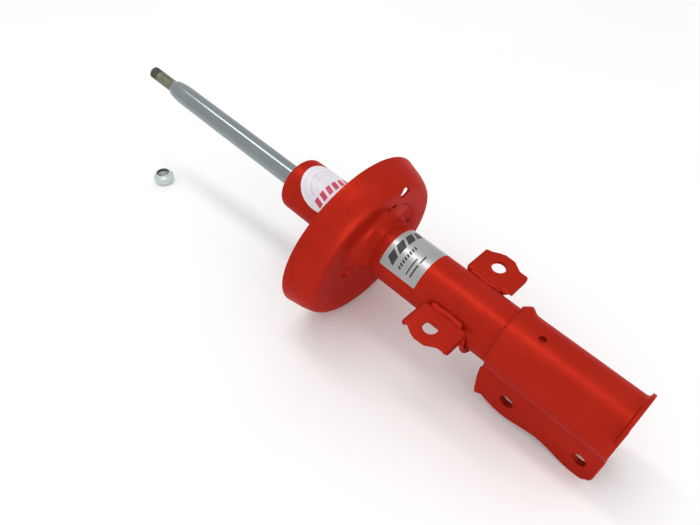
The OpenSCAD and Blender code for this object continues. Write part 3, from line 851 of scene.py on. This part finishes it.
def build_welds():
    ear_beads, flange_beads = [], []
    for side in (-1, 1):
        path = [(x, y + side * 0.5 * math.sin(x / 3), z)
                for x, y, z in lengthwise(LINK_TOP + 5.5, LINK_END - 7, 30, side * 24.6, 10.2)]
        ear_beads.append(bead(path, radius=3.6, ripple=3.4, seed=5 + side))
        path = lengthwise(-45, 38, 40, side * 13.9, -21.4)
        flange_beads.append(bead(path, radius=2.4, ripple=3.4, seed=9 + side))
    top_bead = bead(crosswise(BRACKET_TOP - 0.6, 25.6, -24, 14, 30), radius=1.4, ripple=3.2, seed=21)
    add_painted("link_bracket_beads", joined(ear_beads), "link_bracket_welds")
    add_painted("knuckle_bracket_beads", joined(flange_beads + [top_bead]), "knuckle_bracket_welds")
    neck_bead = bead(crosswise(SEAT_X + NECK_END + 0.3, 25.1, 0, 360, 160), radius=0.5, ripple=3.6, seed=31)
    add_painted("spring_seat_bead", neck_bead, "spring_seat_weld")


# ---------------------------------------------------------------- labels

LABEL_R = TUBE_R + 0.14
LABEL_T = 0.12
FOIL_HALF_ANGLE = math.radians(68)


def label_surface(x, s):
    return around(x, LABEL_R, s / LABEL_R)


def slanted(x0, x1, s0, s1, lean):
    """A leaning block: it spans x0 to x1 and s0 to s1, and its far side is shifted by lean."""
    return rounded([(x0, s0 + lean, 0.2), (x1, s0, 0.2), (x1, s1, 0.2), (x0, s1 + lean, 0.2)], 2.0)


def add_label(name, outer, grid, prints, mats, node):
    """A label with printed marks. prints has a list of outlines for each of mats after the first."""
    blank = Blank(outer, [], grid, 0.04, [loop for loops in prints for loop in loops])
    shape = blank.solid(label_surface, -LABEL_T, 1)
    index = blank.paint([(loops, i + 1) for i, loops in enumerate(prints)], len(shape[1]))
    add_piece(name, shape, mats, "strut_body", [node], index)


def build_foil_label():
    """The foil label, with leaning blocks and plain bars for its print."""
    x0, x1 = low("foil_label")[0], high("foil_label")[0]
    half = LABEL_R * FOIL_HALF_ANGLE
    marks = [slanted(x0 + 4.5, x0 + 12, s, s + 8.5, 4) for s in np.arange(-25, 18, 11)]
    marks += [slanted(x0 + 16.5, x0 + 19.5, s, s + 1.8, 0.8) for s in np.arange(-24, -2, 3)]
    bars = ((25, 26.2, -24, -8), (29, 30.4, -24, -12), (29, 30.4, -10, -2))
    marks += [slanted(x0 + start, x0 + end, s0, s1, 0) for start, end, s0, s1 in bars]
    grid = square_grid((x0, -half), (x1, half), (2.5, 1.5))
    add_label("foil_label_film", rectangle(x0, x1, -half, half, 1.5, 1.5), grid, [marks],
              ["label_foil", "foil_ink"], "foil_label")


def build_round_label():
    """The round label, with a row of leaning blocks and half rings for its print."""
    centre = (low("round_label")[0] + high("round_label")[0]) / 2
    r = (high("round_label")[0] - low("round_label")[0]) / 2
    rings = []
    for far, near in ((24.5, 23.7), (19.4, 18.0), (14.0, 13.3)):
        turn = np.radians(np.linspace(105, 255, 60))
        rings.append(np.array([(centre + q * math.cos(a), q * math.sin(a))
                               for q, way in ((far, turn), (near, turn[::-1])) for a in way]))
    blocks = [slanted(centre - 2, centre + 6.5, s, s + 4.8, 2.5) for s in np.arange(-24, 20, 7.2)]
    grid = square_grid((centre - r, -r), (centre + r, r), (1.5, 1.5))
    add_label("round_label_film", circle_loop((centre, 0), r, 160), grid, [blocks, rings],
              ["label_film", "film_red", "film_grey"], "round_label")


# ---------------------------------------------------------------- lock nut

NUT_HEIGHT = 12.0
NUT_FLATS = 9.5
NUT_RING = 2.4
NUT_BODY = NUT_HEIGHT - NUT_RING
NUT_UP = np.array(next(joint for joint in frame["joints"] if joint["name"] == "nut_lift")["axis"])
NUT_SIDE = np.array([NUT_UP[2], 0, -NUT_UP[0]])
NUT_SEGMENTS = 180


def nut_solid(rows):
    """A closed turned shape about the nut's axis, from rows of (height, radius)."""
    foot = (low("top_nut") + high("top_nut")) / 2 - NUT_UP * (NUT_HEIGHT / 2 - 0.02)
    angle = turn_angles(NUT_SEGMENTS)[:, None]
    outward = np.cos(angle) * NUT_SIDE + np.sin(angle) * np.array([0, 1, 0])
    points = np.concatenate([foot + z * NUT_UP + np.broadcast_to(r, (NUT_SEGMENTS,))[:, None] * outward
                             for z, r in rows])
    return points, rings_to_faces(len(rows), NUT_SEGMENTS, True)


def build_nut():
    """A hexagon nut with chamfered corners, a thread and a collar that holds the locking ring."""
    hexagon = hexagon_radius(NUT_FLATS, NUT_SEGMENTS, 10)
    rows = [(0, STUD_R + 0.5), (0, NUT_FLATS - 0.9)]
    rows += [(z, np.minimum(hexagon, NUT_FLATS - 0.8 + z * 1.75)) for z in np.linspace(0.05, 1.0, 8)]
    rows.append((NUT_BODY / 2, hexagon))
    rows += [(z, np.minimum(hexagon, NUT_FLATS - 0.7 + (NUT_BODY - z) * 1.75))
             for z in np.linspace(NUT_BODY - 1.5, NUT_BODY - 0.1, 10)]
    rows += [(NUT_BODY, NUT_FLATS - 0.8), (NUT_BODY + 0.05, 8.5), (NUT_HEIGHT - 1.2, 8.3),
             (NUT_HEIGHT - 0.4, 8.0), (NUT_HEIGHT, 7.5), (NUT_HEIGHT - 0.05, 7.0), (NUT_HEIGHT - 0.5, 6.9),
             (NUT_BODY + 0.2, 6.9), (NUT_BODY - 0.2, STUD_R + 0.3)]
    rows += reversed(thread_rows(0.6, NUT_BODY - 0.8, STUD_R - 0.65, -0.62, NUT_SEGMENTS, 1.0, 6))
    add_piece("lock_nut_body", nut_solid(rows), ["nut_zinc"], "lock_nut", ["top_nut"], sharp=24)
    nylon = [(NUT_BODY - 0.1, 5.7), (NUT_HEIGHT - 0.9, 5.6), (NUT_HEIGHT - 0.55, 5.9),
             (NUT_HEIGHT - 0.5, 6.7), (NUT_HEIGHT - 0.6, 6.88), (NUT_BODY + 0.15, 6.88)]
    add_piece("lock_nut_ring", nut_solid(nylon), ["nut_nylon"], "lock_nut", ["nut_locking_ring"])


# ---------------------------------------------------------------- stage

# The strut lies on the seat's rim and the flanges, so the floor slopes in the strut's frame
BENCH_TILT = math.radians(6.47)
BENCH_UP = Vector((-math.sin(BENCH_TILT), 0, math.cos(BENCH_TILT)))
BENCH_POINT = Vector((-0.2361, 0, -0.0508))
LIT_POINT = Vector((-0.18, 0, 0.03))


def build_floor():
    m = Mat("floor_white").set(Roughness=0.9)
    m.colour(m.noise(3, 2), (0.90, 0.90, 0.90), (0.93, 0.93, 0.93))
    bpy.ops.mesh.primitive_plane_add(size=8, location=BENCH_POINT)
    floor = bpy.context.object
    floor.name = "floor"
    floor.rotation_mode = "QUATERNION"
    floor.rotation_quaternion = BENCH_UP.to_track_quat("Z", "Y")
    floor.data.materials.append(m.mat)


def add_area(name, towards, distance, size, power):
    """A rectangular softbox at a distance from the lit point, in metres and watts."""
    data = bpy.data.lights.new(name, "AREA")
    data.shape = "RECTANGLE"
    data.size, data.size_y = size
    data.energy = power
    light = bpy.data.objects.new(name, data)
    bpy.context.scene.collection.objects.link(light)
    away = Vector(towards).normalized()
    light.location = LIT_POINT + away * distance
    light.rotation_mode = "QUATERNION"
    light.rotation_quaternion = away.to_track_quat("Z", "Y")


def build_lights():
    world = bpy.data.worlds.new("studio")
    world.use_nodes = True
    background = world.node_tree.nodes["Background"]
    background.inputs["Color"].default_value = (1, 1, 1, 1)
    background.inputs["Strength"].default_value = 0.9
    bpy.context.scene.world = world
    add_area("key_softbox", (1.0, -0.35, 0.45), 1.4, (0.9, 0.9), 5)
    add_area("strip_softbox", (-0.44, 0.0, 1.22), 1.3, (0.2, 1.45), 4.4)


def build_camera():
    data = bpy.data.cameras.new("camera")
    data.lens = 35.284
    data.sensor_width = 36
    camera = bpy.data.objects.new("camera", data)
    camera.location = (0.04307, -0.31629, 0.47575)
    camera.rotation_euler = [math.radians(a) for a in (40.303, -3.716, 44.480)]
    bpy.context.scene.collection.objects.link(camera)
    bpy.context.scene.camera = camera
    bpy.context.scene.view_settings.view_transform = "Standard"


build_camera()
build_lights()
build_floor()
finish_cad_nodes()
build_rod()
build_tube()
build_seat()
build_knuckle_bracket()
build_doublers()
build_link_bracket()
build_welds()
build_foil_label()
build_round_label()
build_nut()
